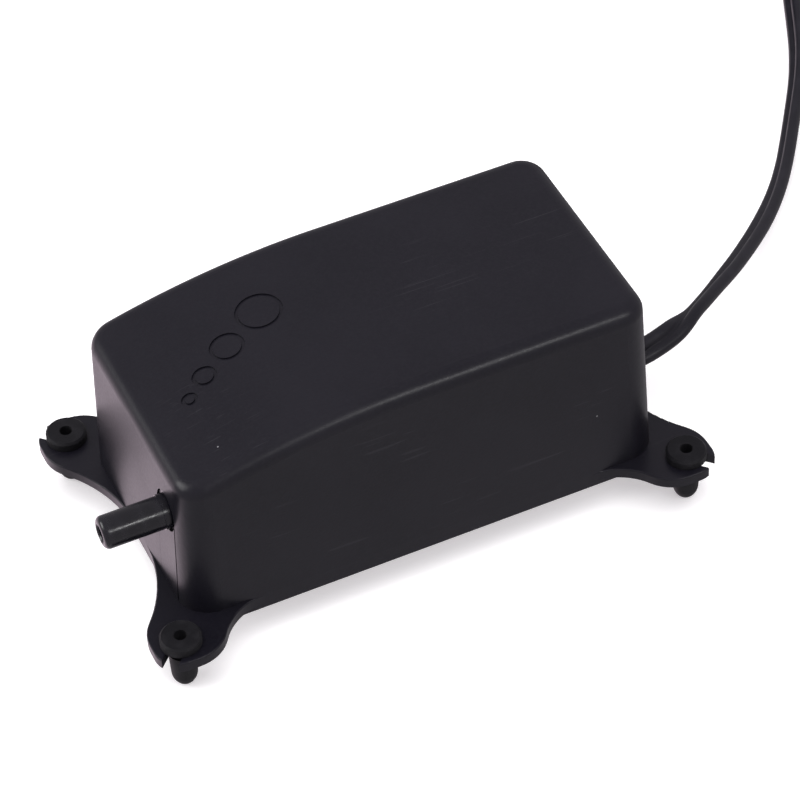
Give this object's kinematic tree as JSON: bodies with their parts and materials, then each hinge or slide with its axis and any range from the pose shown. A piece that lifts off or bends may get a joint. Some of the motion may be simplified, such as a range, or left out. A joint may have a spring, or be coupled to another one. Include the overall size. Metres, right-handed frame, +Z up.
{
  "type": "aquarium air pump",
  "caption": "Small diaphragm air pump for an aquarium: moulded case on a base plate with eared rubber feet, side air nozzle, electromagnet-driven arm and a coiled mains cord.",
  "frame": {"origin": "on the surface that the four feet stand on, at the middle of the pump's outline without its cord", "axes": "+X along the case from the air nozzle to the mains cord, +Y from the nozzle's side of the case to the other side, +Z up"},
  "size_m": [0.226, 0.2183, 0.0487],
  "materials": {
    "case_plastic": "satin moulded ABS, fine grain",
    "nozzle_plastic": "smooth moulded, half gloss",
    "foot_rubber": "matt moulded rubber",
    "grommet_rubber": "matt moulded rubber",
    "valve_rubber": "smooth moulded rubber",
    "inner_plastic": "natural moulded nylon",
    "bobbin_plastic": "moulded glass-filled nylon",
    "zinc_steel": "bright zinc plate",
    "arm_metal": "rolled sheet",
    "pin_steel": "ground and polished",
    "bush_brass": "turned",
    "terminal_brass": "tinned",
    "core_steel": "stacked sheets with bare cut edges",
    "magnet_ferrite": "sintered ferrite, matt",
    "winding_copper": "enamelled copper wire",
    "coil_tape": "polyester tape",
    "filter_felt": "needled felt",
    "cord_pvc": "satin PVC",
    "wire_pvc": "smooth PVC",
    "plug_plastic": "satin moulded PVC",
    "plug_metal": "nickel plated"
  },
  "bodies": {
    "pump": {"upper_housing": "case_plastic", "base_plate": "case_plastic", "foot_outlet_near": "foot_rubber", "foot_outlet_far": "foot_rubber", "foot_cord_near": "foot_rubber", "foot_cord_far": "foot_rubber", "housing_screws": "zinc_steel", "filter_cap": "case_plastic", "filter_pad": "filter_felt", "outlet_nozzle": "nozzle_plastic", "outlet_sleeve": "valve_rubber", "valve_box": "inner_plastic", "valve_box_screws": "zinc_steel", "cover_gasket": "valve_rubber", "valve_cover": "inner_plastic", "flap_retainers": "inner_plastic", "diaphragm": "valve_rubber", "rim_frame": "inner_plastic", "diaphragm_ring": "inner_plastic", "ring_screws": "zinc_steel", "pivot_bracket": "zinc_steel", "pivot_pin": "pin_steel", "bracket_screws": "zinc_steel", "core_laminations": "core_steel", "core_pads": "valve_rubber", "core_clamp": "zinc_steel", "core_screws": "zinc_steel", "coil_bobbin": "bobbin_plastic", "coil_winding": "winding_copper", "coil_tape": "coil_tape", "coil_terminals": "terminal_brass", "lead_wires": "wire_pvc", "cord_clamp": "inner_plastic", "clamp_screws": "zinc_steel", "cord_grommet": "grommet_rubber", "cord_tail": "cord_pvc", "power_cord": "cord_pvc", "cord_coil": "cord_pvc", "plug_relief": "plug_plastic", "plug_body": "plug_plastic", "plug_pins": "plug_metal"},
    "armature": {"armature_arm": "arm_metal", "pivot_bush": "bush_brass", "magnet_holder": "bobbin_plastic", "armature_magnets": "magnet_ferrite", "holder_rivets": "arm_metal", "inner_washer": "zinc_steel", "push_disc": "inner_plastic", "diaphragm_screw": "zinc_steel", "diaphragm_nut": "zinc_steel"},
    "inlet_flap": {"inlet_flap": "valve_rubber"},
    "outlet_flap": {"outlet_flap": "valve_rubber"}
  },
  "joints": [
    {"name": "armature_swing", "type": "hinge", "parent": "pump", "child": "armature", "pos_m": [-0.038, -0.001, 0.0306], "axis": [0, 0, 1], "range_deg": [-2.5, 2.5], "stiffness_Nm_per_rad": 0.07, "deforming": ["diaphragm"]},
    {"name": "inlet_flap_bend", "type": "hinge", "parent": "pump", "child": "inlet_flap", "pos_m": [-0.0154, -0.0096, 0.0297], "axis": [1, 0, 0], "range_deg": [0, 12], "stiffness_Nm_per_rad": 0.00002},
    {"name": "outlet_flap_bend", "type": "hinge", "parent": "pump", "child": "outlet_flap", "pos_m": [-0.0226, -0.012, 0.0297], "axis": [-1, 0, 0], "range_deg": [0, 12], "stiffness_Nm_per_rad": 0.00002}
  ]
}
